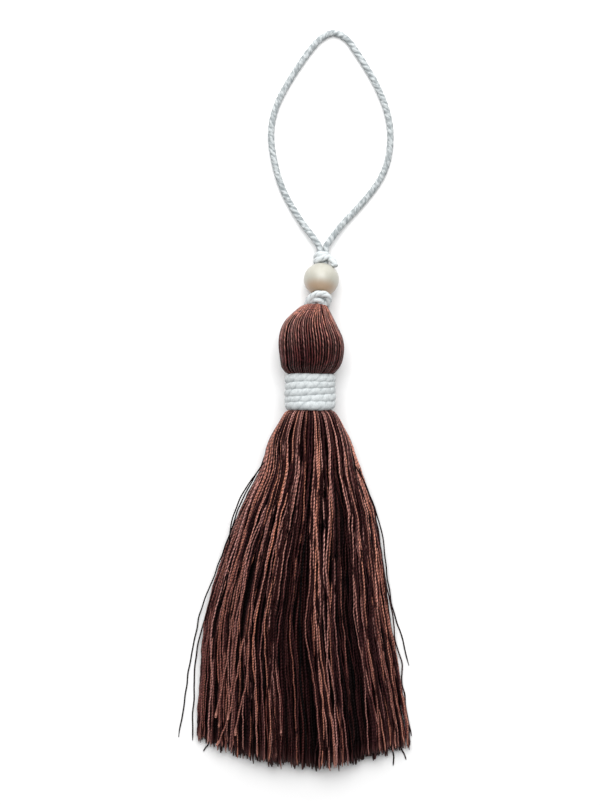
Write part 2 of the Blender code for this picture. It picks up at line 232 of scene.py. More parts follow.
def twistedCord():
    # bleached cotton cord laid from three plies: chalky white with fine fibres, and painted shade where its grooves
    # open;
    # the fibre and patch sizes are in turns round the cord and in mm along it, coarser than life so that they show
    looks = {"white": "#cbd0d1", "grey": "#a9afb1", "dark": "#8b9294", "fibre": (22.0, 3.2, 1.0),
             "patch": (5.0, 0.9, 1.0), "opened": (0.2, 1.1), "relief": 0.18}
    material, tree, shader = newMaterial(
        "bleachedCottonCord", Roughness=0.85, Specular_IOR_Level=0.25, Sheen_Weight=0.15, Sheen_Roughness=0.6)
    uv = addNode(tree, "ShaderNodeUVMap", {"uv_map": "around"})
    stretch = addNode(tree, "ShaderNodeMapping", {"Scale": looks["fibre"], "Rotation": (0, 0, 0.04)},
                      {"Vector": uv.outputs[0]})
    fibre = addNode(tree, "ShaderNodeTexNoise", {"Scale": 1.0, "Detail": 4.0, "Roughness": 0.6},
                    {"Vector": stretch.outputs[0]})
    groove = addNode(tree, "ShaderNodeAttribute", {"attribute_name": "groove"})
    # painted shade: the grooves are open, and so painted dark, only here and there
    patch = addNode(tree, "ShaderNodeMapping", {"Scale": looks["patch"]}, {"Vector": uv.outputs[0]})
    patches = addNode(tree, "ShaderNodeTexNoise", {"Scale": 1.0, "Detail": 1.0}, {"Vector": patch.outputs[0]})
    opened = addNode(tree, "ShaderNodeMapRange",
                     {"From Min": 0.42, "From Max": 0.6, "To Min": looks["opened"][0], "To Max": looks["opened"][1]},
                     {"Value": patches.outputs["Fac"]})
    dark = addNode(tree, "ShaderNodeMath", {"operation": "MULTIPLY"}, {0: groove.outputs["Fac"], 1: opened.outputs[0]})
    # fibre grey plus the groove attribute, which holds the painted shade of the grooves and the painted grey of some
    # cord pieces
    greyShade = addNode(tree, "ShaderNodeMath", {"operation": "MULTIPLY_ADD", 1: 0.55},
                   {0: fibre.outputs["Fac"], 2: dark.outputs[0]})
    cotton = addNode(tree, "ShaderNodeValToRGB", links={"Fac": greyShade.outputs[0]})
    ramp = cotton.color_ramp.elements
    ramp[0].position = 0.3
    ramp[0].color, ramp[1].color = linear(looks["white"]), linear(looks["dark"])
    ramp.new(0.6).color = linear(looks["grey"])
    tree.links.new(cotton.outputs[0], shader.inputs["Base Color"])
    bump = addNode(tree, "ShaderNodeBump", {"Strength": 0.9, "Distance": looks["relief"] * mm},
                   {"Height": fibre.outputs["Fac"]})
    tree.links.new(bump.outputs[0], shader.inputs["Normal"])
    return material


def lacqueredWood():
    # turned beech under cream lacquer: a wide, soft highlight, with a trace of grain along the bore;
    # the last pair is where along the bore, in mm from the bead's middle, the tan begins and is full; the tan is a
    # painted reflection of the brown yarn and painted shade on the bead's lower part
    looks = {"cream": "#adab9f", "grain": "#a9a699", "tan": "#ad9276", "paintedReflection": (-0.8, -3.6), "relief": 0.03}
    material, tree, shader = newMaterial("creamLacqueredBeech", Roughness=0.4, Specular_IOR_Level=0.3,
                                         Coat_Weight=1.0, Coat_Roughness=0.52, Coat_IOR=1.75)
    uv = addNode(tree, "ShaderNodeUVMap", {"uv_map": "around"})
    stretch = addNode(tree, "ShaderNodeMapping", {"Scale": (30.0, 0.35, 1.0)}, {"Vector": uv.outputs[0]})
    grain = addNode(tree, "ShaderNodeTexNoise", {"Scale": 1.0, "Detail": 5.0, "Roughness": 0.6},
                    {"Vector": stretch.outputs[0]})
    wood = addNode(tree, "ShaderNodeValToRGB", links={"Fac": grain.outputs["Fac"]})
    ramp = wood.color_ramp.elements
    ramp[0].position, ramp[1].position = 0.35, 0.6
    ramp[0].color, ramp[1].color = linear(looks["grain"]), linear(looks["cream"])
    # painted reflection and shade: the lacquer is painted tan towards the lower knot, standing in for the brown yarn's
    # reflection and the shade there
    place = addNode(tree, "ShaderNodeSeparateXYZ", links={0: uv.outputs[0]})
    begins, full = looks["paintedReflection"]
    paintedReflection = addNode(tree, "ShaderNodeMapRange",
                     {"interpolation_type": "SMOOTHSTEP", "From Min": begins, "From Max": full},
                     {"Value": place.outputs["Y"]})
    withPaintedReflection = addNode(tree, "ShaderNodeMix", {"data_type": "RGBA", "B": linear(looks["tan"])},
                     {"Factor": paintedReflection.outputs[0], "A": wood.outputs[0]})
    tree.links.new(withPaintedReflection.outputs["Result"], shader.inputs["Base Color"])
    bump = addNode(tree, "ShaderNodeBump", {"Strength": 0.06, "Distance": looks["relief"] * mm},
                   {"Height": grain.outputs["Fac"]})
    tree.links.new(bump.outputs[0], shader.inputs["Normal"])
    return material


yarnMaterial = pliedYarn()
cordMaterial = twistedCord()
beadMaterial = lacqueredWood()
print("materials made")


# the camera looks straight down, with the loop at the top of the picture; lengths in mm
shot = {"height": 750.0, "centre": (-0.83, 30.1), "tall": 223.6, "focus": 4.0}
cameraData = bpy.data.cameras.new("camera")
cameraData.lens = cameraData.sensor_width * (shot["height"] - shot["focus"]) / shot["tall"]
cameraData.clip_start = 0.01
camera = bpy.data.objects.new("camera", cameraData)
camera.location = (shot["centre"][0] * mm, shot["centre"][1] * mm, shot["height"] * mm)
bpy.context.scene.collection.objects.link(camera)
bpy.context.scene.camera = camera


# the white cord of the loop, the knots and the binding
# the loop is painted greyer than the other cord pieces: painted shade
cordLooks = {"width": 1.85, "lay": 5.8, "plies": 3, "round": 24, "step": 0.3, "plySpread": 0.14,
             "loopShade": 0.48, "loopCrown": 0.5, "knotCrown": 0.5}


def cordRings(path, towards, looks, width, lay, spread):
    # a three-ply cord: r(d) = a cos d + sqrt(b^2 - a^2 sin^2 d), d from the nearest ply's middle,
    # a the plies' distance from the cord's middle, b their radius; the plies turn once each lay.
    # groove is 0 on top of a ply and 1 between two of them
    spread = spread * width
    ply = width / 2 - spread
    sector = 2 * np.pi / looks["plies"]
    angle = 2 * np.pi * np.arange(looks["round"]) / looks["round"]
    off = (angle + sector / 2) % sector - sector / 2
    radius = spread * np.cos(off) + np.sqrt(ply ** 2 - (spread * np.sin(off)) ** 2)
    along = walkedLength(path[None])
    rings = sweep(path[None], np.broadcast_to(radius, (1, len(path), len(radius))), towards,
                  2 * np.pi * along / lay)
    groove = np.abs(off) / (sector / 2)
    return rings, along, groove


def cordMesh(name, path, towards, width=cordLooks["width"], lay=cordLooks["lay"], spread=cordLooks["plySpread"],
             greyShade=0.0, crown=1.0):
    # the greying argument is painted shade over the whole cord; crown is how much of the grooves' painted shade is left
    # on the side it is framed towards
    rings, along, groove = cordRings(path, towards, cordLooks, width, lay, spread)
    made = strandMesh(name, rings, along, cordMaterial)
    facing = (unit(rings - path[None, :, None]) * unit(np.broadcast_to(towards, path[None].shape))[:, :, None]).sum(-1)
    values = greyShade + groove ** 6 * (1 - (1 - crown) * ease(facing, 0.2, 0.75))
    setPoints(made.data, "groove", values)
    return made


def cordPath(route, looks=cordLooks):
    # the route's curve, one station a step
    rough = evenRoute(route, 200)
    return evenRoute(route, max(12, round(walkedLength(rough[None])[0, -1] / looks["step"])))


# out of the upper knot, up the left, over the far end and back down the right
loopRoute = [
    (5.05, 68.9, 3.4), (4.85, 70.3, 3.05), (4.7, 71.9, 2.75), (4.5, 73.5, 2.6),
    (3.25, 75.5, 2.4), (0.1, 79.7, 1.7), (-2.8, 84.2, 1.15), (-5.2, 88.6, 0.92),
    (-6.9, 93.1, 0.92), (-8.0, 97.5, 0.92), (-8.75, 102.0, 0.92), (-8.8, 106.5, 0.92),
    (-8.0, 110.9, 0.92), (-6.3, 115.3, 0.92), (-3.8, 119.8, 0.92), (-1.0, 124.2, 0.92),
    (2.1, 128.5, 0.92), (5.1, 131.7, 0.92), (8.6, 133.2, 0.92), (12.1, 131.6, 0.92),
    (14.5, 128.5, 0.92), (17.3, 124.2, 0.92), (19.9, 119.8, 0.92), (22.0, 115.3, 0.92),
    (23.5, 110.9, 0.92), (24.3, 106.4, 0.92), (24.3, 101.9, 0.92), (23.6, 97.5, 0.92),
    (21.9, 93.1, 0.92), (18.9, 88.6, 0.92), (15.1, 84.2, 1.15), (10.9, 79.7, 1.7),
    (7.75, 75.5, 2.4), (6.5, 73.5, 2.6), (6.4, 71.9, 2.75), (6.3, 70.3, 3.05),
    (6.1, 68.9, 3.4),
]
loopPath = cordPath(loopRoute)
loop = cordMesh("loopCord", loopPath, (0, 0, 1), greyShade=cordLooks["loopShade"], crown=cordLooks["loopCrown"])
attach(loop, "root")
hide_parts("loop_cord")
print("loop made", round(walkedLength(loopPath[None])[0, -1], 1), "mm")


# the bead leans on its cord: turn is seen from above, dip is how far its upper end looks down, in degrees
beadLooks = {"centre": (5.1, 64.2, 5.15), "turn": 6.0, "dip": 20.0, "radius": 4.9, "halfLength": 4.6, "bore": 1.85,
             "lip": 0.3, "round": 96}
turn, dip = math.radians(beadLooks["turn"]), math.radians(beadLooks["dip"])
beadRight = np.array([math.cos(turn), -math.sin(turn), 0])
beadAlong = np.array([math.sin(turn) * math.cos(dip), math.cos(turn) * math.cos(dip), -math.sin(dip)])
beadUp = np.cross(beadRight, beadAlong)


def byBead(places):
    # centre + x right + y along + z up
    return np.array(beadLooks["centre"]) + np.array(places, dtype=float) @ np.array([beadRight, beadAlong, beadUp])


def makeBead(looks):
    # outside (R cos t, H sin t), t from rim to rim, then down the bore; a quarter-round lip joins them
    bore, lip = looks["bore"], looks["lip"]
    rim = math.acos((bore + lip) / looks["radius"])
    t = np.linspace(rim, -rim, 44)
    outside = np.column_stack([looks["radius"] * np.cos(t), looks["halfLength"] * np.sin(t)])
    quarter = np.linspace(0, np.pi / 2, 6)[1:]
    top = outside[0, 1]
    lower = np.column_stack([bore + lip - lip * np.sin(quarter), -top + lip - lip * np.cos(quarter)])
    wall = np.column_stack([np.full(8, bore), np.linspace(-top + 2 * lip, top - 2 * lip, 8)])
    upper = (lower * (1, -1))[::-1]
    profile = np.vstack([outside, lower, wall, upper])
    around = 2 * np.pi * np.arange(looks["round"]) / looks["round"]
    ring = np.cos(around)[:, None] * beadRight + np.sin(around)[:, None] * beadUp
    points = (np.array(looks["centre"]) + profile[:, None, :1] * ring[None] + profile[:, None, 1:] * beadAlong)
    rows, cols = points.shape[:2]
    index = np.arange(rows * cols).reshape(rows, cols)
    below, beside = np.roll(index, -1, axis=0), np.roll(index, -1, axis=1)
    quads = np.stack([index, below, np.roll(below, -1, axis=1), beside], axis=-1).reshape(-1, 4)
    mesh = bpy.data.meshes.new("bead")
    mesh.from_pydata(points.reshape(-1, 3) * mm, [], quads)
    v = np.broadcast_to(profile[:, 1:], (rows, cols))
    u = np.broadcast_to(np.arange(cols) / cols, (rows, cols))
    vNext = np.roll(v, -1, axis=0)
    uvs = np.stack([np.stack([u, u, u + 1 / cols, u + 1 / cols], -1), np.stack([v, vNext, vNext, v], -1)], -1)
    mesh.uv_layers.new(name="around").data.foreach_set("uv", uvs.astype(np.float32).ravel())
    mesh.shade_smooth()
    mesh.materials.append(beadMaterial)
    made = bpy.data.objects.new("lacqueredBead", mesh)
    bpy.context.scene.collection.objects.link(made)
    return made


bead = makeBead(beadLooks)
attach(bead, "root")
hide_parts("bead")

# name: route, whether it is in the bead's own directions, direction the cord is framed by, width
knotRoutes = {
    "upperKnotTurn": (
        [(4.6, 68.9, 1.6), (3.85, 69.2, 2.6), (3.95, 69.5, 4.0), (4.9, 69.9, 4.85), (6.1, 70.35, 4.95),
         (7.2, 70.35, 4.85), (8.0, 69.7, 5.2), (8.55, 68.8, 5.8), (8.8, 67.8, 6.2)],
        False, (0, 1, 0.2), 1.95),
    "upperKnotUnder": (
        [(4.3, 70.0, 1.7), (3.7, 70.7, 2.9), (4.4, 71.15, 4.1), (5.6, 71.25, 4.4), (6.8, 71.0, 3.8),
         (7.1, 70.3, 2.6), (6.4, 69.8, 1.6), (5.2, 69.6, 1.3)],
        False, (0, 1, 0.2), 1.85),
    "boreLegLeft": (
        [(-0.55, 6.6, 0), (-0.45, 4.5, 0), (-0.45, 0, 0), (-0.45, -4.2, 0), (-0.9, -5.4, 0.4),
         (-1.3, -6.6, 0.6), (-1.2, -8.2, 0.6)],
        True, beadUp, 1.75),
    "boreLegRight": (
        [(0.55, 6.6, 0), (0.45, 4.5, 0), (0.45, 0, 0), (0.45, -4.2, 0), (0.8, -5.4, 0.1),
         (1.0, -6.8, 0.3), (0.8, -8.2, 0.5)],
        True, beadUp, 1.75),
    "lowerKnotArch": (
        [(0.9, 55.9, 6.2), (1.15, 57.0, 7.4), (1.9, 58.6, 8.8), (3.2, 59.75, 9.6), (4.9, 60.05, 9.9),
         (6.4, 59.7, 9.6), (7.1, 58.7, 8.9), (6.7, 57.5, 8.1), (5.6, 56.7, 7.2)],
        False, (0, 0, 1), 1.95),
    "lowerKnotFront": (
        [(1.2, 57.4, 5.8), (2.0, 57.9, 7.9), (3.2, 58.5, 9.1), (4.4, 58.3, 9.4), (5.2, 57.5, 8.9),
         (6.0, 56.9, 7.8), (6.6, 57.2, 6.4)],
        False, (0, 0, 1), 2.0),
    "lowerKnotUnder": (
        [(1.5, 58.6, 6.6), (2.0, 58.9, 5.0), (3.8, 59.0, 4.3), (5.6, 58.9, 4.9), (6.4, 58.7, 6.4),
         (6.2, 58.4, 7.8)],
        False, (0, 1, 0.2), 1.75),
}
for name, (route, byTheBead, towards, width) in knotRoutes.items():
    piece = cordMesh(name, cordPath(byBead(route) if byTheBead else route), towards, width=width,
                     crown=cordLooks["knotCrown"])
    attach(piece, "root")
    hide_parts("upper_knot" if name.startswith("upper") else "lower_knot")
print("bead and knots made")


# five turns of the cord round the neck
# the binding is painted a little grey all over: painted shade
bindingLooks = {"centre": (1.95, 33.05, 7.25), "turns": 5, "radius": 5.63, "pitch": 1.88,
                "width": 3.0, "lay": 7.5, "spread": 0.062, "tilt": 0.5, "greyShade": 0.14, "crown": 0.2,
                "tuck": 0.06, "tuckDepth": 0.8, "endRoom": 1.1}


def bindingPath(looks):
    # centre + R (cos a, 0, sin a) + along Y: half the height - pitch * turns walked, with a slight wobble;
    # both ends dip under their neighbours and keep endRoom from the binding's edges
    turns, tuck = looks["turns"], looks["tuck"]
    walked = np.linspace(-tuck, turns + tuck, 700)
    angle = -np.pi / 2 + 2 * np.pi * walked
    inner = looks["tuckDepth"] * (1 - ease(walked, -tuck, 0.08) + ease(walked, turns - 0.08, turns + tuck))
    radius = looks["radius"] - inner + 0.08 * np.sin(1.7 * angle + 1) + 0.06 * np.sin(3.1 * angle)
    height = turns * looks["pitch"] / 2
    y = np.clip(height - looks["pitch"] * walked, looks["endRoom"] - height, height - looks["endRoom"])
    y = y + 0.07 * np.sin(0.63 * angle) + 0.06 * np.sin(2.3 * angle + 2)
    lean = math.tan(math.radians(looks["tilt"]))
    ring = np.column_stack([radius * np.cos(angle), y - lean * radius * np.cos(angle), radius * np.sin(angle)])
    return np.array(looks["centre"]) + ring


bindPath = bindingPath(bindingLooks)
outward = (bindPath - np.array(bindingLooks["centre"])) * (1, 0, 1)
binding = cordMesh("neckBinding", bindPath, outward[None], width=bindingLooks["width"], lay=bindingLooks["lay"],
                   spread=bindingLooks["spread"], greyShade=bindingLooks["greyShade"], crown=bindingLooks["crown"])
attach(binding, "root")
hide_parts("neck_binding")
print("binding made")


def slices(node, stations):
    # the room for the yarn, read from the CAD solid: its edges are cut by each plane y = station, and the cuts
    # give the section's left, right, lowest, highest and the height of its sides
    mesh = node.data
    co = np.empty(len(mesh.vertices) * 3)
    mesh.vertices.foreach_get("co", co)
    co = co.reshape(-1, 3) / mm
    ends = np.empty(len(mesh.edges) * 2, dtype=np.int32)
    mesh.edges.foreach_get("vertices", ends)
    a, b = co[ends.reshape(-1, 2)[:, 0]], co[ends.reshape(-1, 2)[:, 1]]
    found = []
    for station in stations:
        cut = (a[:, 1] - station) * (b[:, 1] - station) < 0
        share = (station - a[cut, 1]) / (b[cut, 1] - a[cut, 1])
        hit = a[cut] + share[:, None] * (b[cut] - a[cut])
        sides = (hit[hit[:, 0].argmin(), 2] + hit[hit[:, 0].argmax(), 2]) / 2
        found.append((hit[:, 0].min(), hit[:, 0].max(), hit[:, 2].min(), hit[:, 2].max(), sides))
    return np.array(found).T


# head yarns run like meridians from the fold at the top down into the binding
# sections are (y, share of the solid's half width); in the last three the yarn is inside the binding
headLooks = {
    "yarns": 144, "radius": 0.185, "stations": 64, "round": 6, "inset": 0.4, "spare": 0.12,
    "folds": (0.62, 1.9, 2.5), "foldDepth": 0.7, "foldWidth": 0.05, "dark": (0.0, 0.12), "pale": (0.52, 0.92),
    "sections": [(55.4, 0.15), (56.4, 0.2), (57.0, 0.4), (57.25, 0.7), (57.1, 0.92), (56.6, 0.99), (55.7, 1), (54.4, 1),
                 (52.7, 1), (50.6, 1), (48.2, 1), (45.8, 1), (43.4, 1), (41.4, 1), (40.0, 1), (39.0, 0.985),
                 (38.35, 0.93), (37.9, 0), (37.2, 0), (35.8, 0)],
    "bound": (5.6, 4.8, 4.7),
}


def makeHead(looks):
    # yarn(a, y) = middle(y) + k (half(y) - r - inset) (cos a, sin a); k draws it in at the fold and at the binding.
    # Every other yarn is dark and lies a little lower, as painted shade between the pale ones, and a few spare ones lie
    # under the outer layer
    rowY, rowK = np.array(looks["sections"]).T
    left, right, low, high, _ = slices(yarnNode, np.clip(rowY, 38.6, 57.2))
    kept = np.maximum(rowK, 0.01)
    bound = np.concatenate([np.zeros(len(rowY) - len(looks["bound"])), looks["bound"]])
    half = np.where(rowK > 0, (right - left) / 2 * kept, bound)
    tall = np.where(rowK > 0, (high - low) / 2 * kept, bound)
    midX = np.where(rowK > 0, (left + right) / 2, bindingLooks["centre"][0])
    midZ = np.where(rowK > 0, (low + high) / 2, bindingLooks["centre"][2])
    fine = np.linspace(0, len(rowY) - 1, looks["stations"])
    y, half, tall, midX, midZ = evenFill(np.column_stack([rowY, half, tall, midX, midZ]), fine).T
    count = looks["yarns"]
    even = np.arange(count) % 2 == 0
    azimuth = 2 * np.pi * (np.arange(count) + 0.06 * roll.standard_normal(count)) / count
    layer = np.where(even, 1, 2 * (roll.random(count) < looks["spare"]))
    s = np.linspace(0, 1, looks["stations"])
    inset = looks["inset"] * layer[:, None] * (1 - ease(s, 0.2, 0.55) + ease(s, 0.7, 0.88))
    inset = inset + np.where(even, 0.12, 0.05 * roll.random(count))[:, None] * ease(s, 0.15, 0.45)
    for at in looks["folds"]:
        fold = np.exp(-((azimuth - at) / looks["foldWidth"]) ** 2)
        inset = inset + looks["foldDepth"] * fold[:, None] * ease(s, 0.1, 0.25)
    together = 0.03 * np.sin(2 * np.pi * s + 3 * azimuth[:, None])
    sway = (together + 0.006 * np.sin(2 * np.pi * (2 * s + roll.random((count, 1))))) * ease(s, 0.05, 0.3)
    lean = 0.006 * roll.standard_normal((count, 1)) * (ease(s, 0.1, 0.8) - 0.5)
    a = azimuth[:, None] + sway + lean
    x = midX + np.maximum(half - looks["radius"] - inset, 0.3) * np.cos(a)
    z = np.maximum(midZ + np.maximum(tall - looks["radius"] - inset, 0.3) * np.sin(a), looks["radius"])
    tilt = math.tan(math.radians(bindingLooks["tilt"]))
    tilted = y - tilt * (x - bindingLooks["centre"][0]) * ease(s, 0.6, 0.85)
    path = np.stack([x, tilted, z], axis=-1)
    towards = np.stack([np.cos(a), np.full_like(a, 0.001), np.sin(a)], axis=-1)
    towards = towards + np.array([0, 1, 0]) * (1 - ease(s, 0.02, 0.25))[:, None] * 1.5
    thick = looks["radius"] * (0.7 + 0.3 * ease(s, 0.05, 0.45) - 0.2 * ease(s, 0.75, 1))
    thick = thick * (1 + 0.12 * roll.standard_normal((count, 1)))
    radius = np.broadcast_to(thick[..., None], thick.shape + (looks["round"],))
    # painted shade: the yarn is painted darker and cooler down towards the binding, where the light from beyond the
    # loop falls off
    tone = np.where(even, roll.uniform(*looks["dark"], count), roll.uniform(*looks["pale"], count))
    tone = tone[:, None] * (0.92 - 0.34 * ease(s, 0.3, 0.75))
    tint = np.where(even, roll.uniform(0.4, 0.9, count), roll.uniform(0, 0.45, count))
    tint = np.clip(tint[:, None] + 0.35 * ease(s, 0.3, 0.7), 0, 1)
    return strandMesh("headYarn", sweep(path, radius, towards), walkedLength(path), yarnMaterial,
                      {"tone": tone, "tint": tint})


# (y, share of the width, share of the height, height of the middle as a share) down each core
coreLooks = {
    "round": 48,
    "head": [(56.3, 0.1, 0.1, 0.5), (56.1, 0.55, 0.55, 0.5), (55.4, 0.8, 0.8, 0.5), (54.0, 0.91, 0.91, 0.5),
             (50.0, 0.94, 0.94, 0.5), (46.0, 0.94, 0.94, 0.5), (42.0, 0.935, 0.935, 0.5), (40.0, 0.88, 0.88, 0.5),
             (39.0, 0.78, 0.78, 0.5), (38.4, 0.66, 0.66, 0.5), (37.0, 0.9, 0.9, 0.5), (30.0, 0.9, 0.9, 0.5),
             (28.0, 0.6, 0.6, 0.5), (27.0, 0.3, 0.3, 0.5)],
    "skirt": [(27.5, 0.3, 0.3, 0.5), (24.0, 0.45, 0.4, 0.45), (18.0, 0.62, 0.45, 0.4), (8.0, 0.74, 0.45, 0.36),
              (-6.0, 0.82, 0.4, 0.34), (-25.0, 0.86, 0.38, 0.33), (-45.0, 0.88, 0.34, 0.3), (-56.0, 0.86, 0.25, 0.28),
              (-60.0, 0.8, 0.08, 0.25)],
}


def makeCore(name, rows, tone, around=coreLooks["round"]):
    # the yarn behind the outer strands, closed at both ends: rings (cos a, sin a) round each slice's middle
    y, wide, tall, lift = np.array(rows).T
    left, right, low, high, _ = slices(yarnNode, np.clip(y, -60, 57.2))
    low = np.maximum(low, 0)
    a = 2 * np.pi * np.arange(around) / around
    points = np.stack([
        (left + right)[:, None] / 2 + (wide * (right - left) / 2)[:, None] * np.cos(a),
        np.broadcast_to(y[:, None], (len(y), around)),
        (low + lift * (high - low))[:, None] - (tall * (high - low) / 2)[:, None] * np.sin(a)], axis=-1)[None]
    return strandMesh(name, points[:, :, ::-1], (y[0] - y)[None], yarnMaterial,
                      {"tone": np.array([tone]), "tint": np.array([0.6])})


# painted shade: the cores are painted nearly black, standing in for the shade behind the outer yarns
for piece in (makeCore("headCore", coreLooks["head"], 0.09), makeCore("skirtCore", coreLooks["skirt"], 0.02),
              makeHead(headLooks)):
    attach(piece, "root")
    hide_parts("yarn_bundle")
print("head made")


# skirt strands fan out from the neck: a bed painted nearly black as the shade beneath, and a shell of thinner yarns in
# bundles above it
skirtLooks = {
    "bed": 230, "bedRadius": 0.37, "bedKink": 0.05, "bedPoints": (50, 5),
    "shell": 196, "shellRadius": 0.19, "kink": 0.1, "shellPoints": (100, 6),
    "bundles": 30, "bundleSpread": 0.55, "bundleSway": 0.6, "bundleDrift": 3.6, "drift": 1.6, "sway": 0.4,
    "elbow": 1.15,  # how much more room than its own thickness a shell strand takes in the fan
    "under": 0.08,  # share of the shell that lies beneath
    "paleShare": 0.42, "pale": (0.58, 0.98), "dark": (0.02, 0.26), "bedDark": (0.0, 0.03), "bedBrown": (0.12, 0.28),
    "short": 0.08, "shorter": (2, 16),  # share that is short and frayed, and by how much
    "length": 102.0, "top": 30.0, "bottom": -80.0, "corner": -60.0, "rounds": 30,
}


def smoothNoise(rows, at, wave):
    # sum of three sines of about that wavelength with their own starts, one set for each row
    total = 0
    for share in (1.0, 0.61, 1.7):
        phase = roll.random((rows, 1)) * 2 * np.pi
        length = wave * share * (0.8 + 0.4 * roll.random((rows, 1)))
        total = total + np.sin(2 * np.pi * at / length + phase) * min(1, share)
    return total / 1.9


def skirtRoom(y):
    # the solid's sides and heights at each station; past the corners the last full section is carried on
    last = skirtLooks["corner"]
    left, right, low, high, sides = slices(yarnNode, np.clip(y, last, 38))
    beyond = np.clip(last - y, 0, None)
    tuck = ease(22 - y, 0, 12)
    return left + 1.1 * tuck - 0.02 * beyond, right - 0.5 * tuck + 0.07 * beyond, np.maximum(low, 0), high, sides


def settle(x, z, radius, rounds):
    # strands that meet in a section push each other apart by half their overlap, are drawn back a little
    # towards their own course, and stay off the floor; the shifts are evened out along each strand
    goalX, goalZ = x.copy(), z.copy()
    for _ in range(rounds):
        shiftX, shiftZ = np.zeros_like(x), np.zeros_like(z)
        for j in range(x.shape[1]):
            dx = x[:, j][:, None] - x[:, j]
            dz = z[:, j][:, None] - z[:, j]
            apart = np.sqrt(dx * dx + dz * dz) + 1e-4
            need = (radius[:, j][:, None] + radius[:, j]) * 0.96
            push = np.where(apart < need, 0.5 * (need - apart) / apart, 0)
            np.fill_diagonal(push, 0)
            shiftX[:, j] = (push * dx).sum(1)
            shiftZ[:, j] = (push * dz).sum(1)
        x = x + 0.55 * shiftX + 0.03 * (goalX - x)
        z = z + 0.55 * shiftZ + 0.03 * (goalZ - z)
        for values, goal in ((x, goalX), (z, goalZ)):
            off = values - goal
            off[:, 1:-1] += 0.3 * ((off[:, :-2] + off[:, 2:]) / 2 - off[:, 1:-1])
            values[:] = goal + off
        z = np.maximum(z, radius)
    return x, z


def bedCourses(looks, y, room):
    # packed disc at the neck, ring radius sqrt((i + 1/2) / n) at golden angles, opening into an even fan
    left, right, low, high, sides = room
    count = looks["bed"]
    i = np.arange(count)
    ring, golden = np.sqrt((i + 0.5) / count) * 0.93, np.pi * (3 - np.sqrt(5)) * i
    discX, discZ = ring * np.cos(golden), ring * np.sin(golden)
    rank = discX.argsort().argsort() / (count - 1) * 2 - 1
    depth = discZ / np.sqrt(np.maximum(0.93 ** 2 - discX ** 2, 1e-3)) / 2 + 0.5  # 0 lowest, 1 on top
    fanned = ease(28 - y, 0, 22)
    across = discX[:, None] * (1 - fanned) + 0.97 * rank[:, None] * fanned
    x = (left + right) / 2 + ((right - left) / 2 - looks["bedRadius"]) * across
    x = x + smoothNoise(count, y, 30) * 0.35 * ease(28 - y, 2, 20)
    crown = np.sqrt(np.clip(1 - across ** 2, 0, 1))
    topZ = sides + (high - sides) * crown - looks["bedRadius"] - 1.2 * ease(28 - y, 0, 10)
    lowZ = np.minimum(sides - (sides - low) * crown + looks["bedRadius"], topZ)
    z = lowZ + (topZ - lowZ) * depth[:, None] + smoothNoise(count, y, 26) * 0.3 * ease(28 - y, 2, 20)
    # most of the bed is painted nearly black, as painted shade under the shell; some of its yarns are brown and the
    # lowest ones browner
    brown = roll.random(count) < 0.3
    tone = np.where(brown, roll.uniform(*looks["bedBrown"], count), roll.uniform(*looks["bedDark"], count))
    return x, z, np.where(depth < 0.12, roll.uniform(0.1, 0.5, count), tone)


def shellCourses(looks, y, room):
    # bundles round the outside: at the neck evenly by angle, in the fan half by angle and half by width;
    # each bundle sways and drifts as one, and each strand a little on its own
    left, right, low, high, sides = room
    count, bundles = looks["shell"], looks["bundles"]
    middle = np.linspace(-1, 1, bundles) + 0.8 / bundles * roll.uniform(-1, 1, bundles)
    weight = roll.uniform(0.4, 1.6, bundles)
    bundle = roll.choice(bundles, count, p=weight / weight.sum())
    place = np.clip(middle[bundle] + 0.004 * roll.standard_normal(count), -1, 1)
    beneath = roll.random(count) < looks["under"]
    fan = np.arcsin(np.clip(0.5 * place + 0.5 * np.sin(np.pi / 2 * place), -1, 1))
    fan = np.where(beneath, np.pi - fan, fan)
    neck = np.where(beneath, fan, 1.75 * place)
    fanned = ease(28 - y, 0, 20)
    turned = neck[:, None] * (1 - fanned) + fan[:, None] * fanned
    half = (right - left) / 2 - looks["shellRadius"]
    down = ease(28 - y, 1, 40)
    together = (smoothNoise(bundles, y, 55) * looks["bundleSway"]
                + roll.uniform(-1, 1, (bundles, 1)) * looks["bundleDrift"] * ease(28 - y, 5, 105))[bundle]
    own = (smoothNoise(count, y, 38) * looks["sway"] + smoothNoise(count, y, 15) * 0.12
           + (looks["bundleSpread"] + looks["drift"] * (28 - y) / 100) * roll.standard_normal((count, 1)))
    x = (left + right) / 2 + half * np.sin(turned) + (together * (1 - 0.7 * np.abs(place[:, None])) + own) * down
    x = np.clip(x, left + 0.3, right - 0.1)
    across = np.clip((x - (left + right) / 2) / half, -1, 1)
    crown = np.sqrt(1 - across ** 2)
    topZ = sides + (high - sides - looks["shellRadius"]) * crown
    lowZ = np.maximum(sides - (sides - low) * crown, looks["shellRadius"])
    lower = (np.cos(turned) < 0) | (beneath[:, None] & (y < 26))
    z = np.where(lower, lowZ, topZ - 0.9 * roll.random((count, 1)) * ease(28 - y, -2, 8))
    z = z + smoothNoise(count, y, 30) * 0.4 * ease(28 - y, 2, 20)
    # pale and dark strands lie side by side: half way down, every other one across is nearly always dark, partly a mix
    # of dyes and partly painted shade between the pale strands
    rank = x[:, x.shape[1] // 2].argsort().argsort()
    pale = roll.random(count) < np.where(rank % 2 == 0, 2 * looks["paleShare"] - 0.08, 0.08)
    tone = np.where(pale, roll.uniform(*looks["pale"], count), roll.uniform(*looks["dark"], count))
    return x, z, tone, bundle


def cutToLength(paths, lengths, stations):
    # each strand read again at even steps up to its own length, then smoothed once by 1-2-1
    walked = walkedLength(paths)
    out = np.empty((len(paths), stations, 3))
    for n in range(len(paths)):
        even = np.linspace(0, min(lengths[n], walked[n, -1]), stations)
        out[n] = np.column_stack([np.interp(even, walked[n], paths[n, :, axis]) for axis in range(3)])
    out[:, 1:-1] = 0.5 * out[:, 1:-1] + 0.25 * (out[:, :-2] + out[:, 2:])
    return out


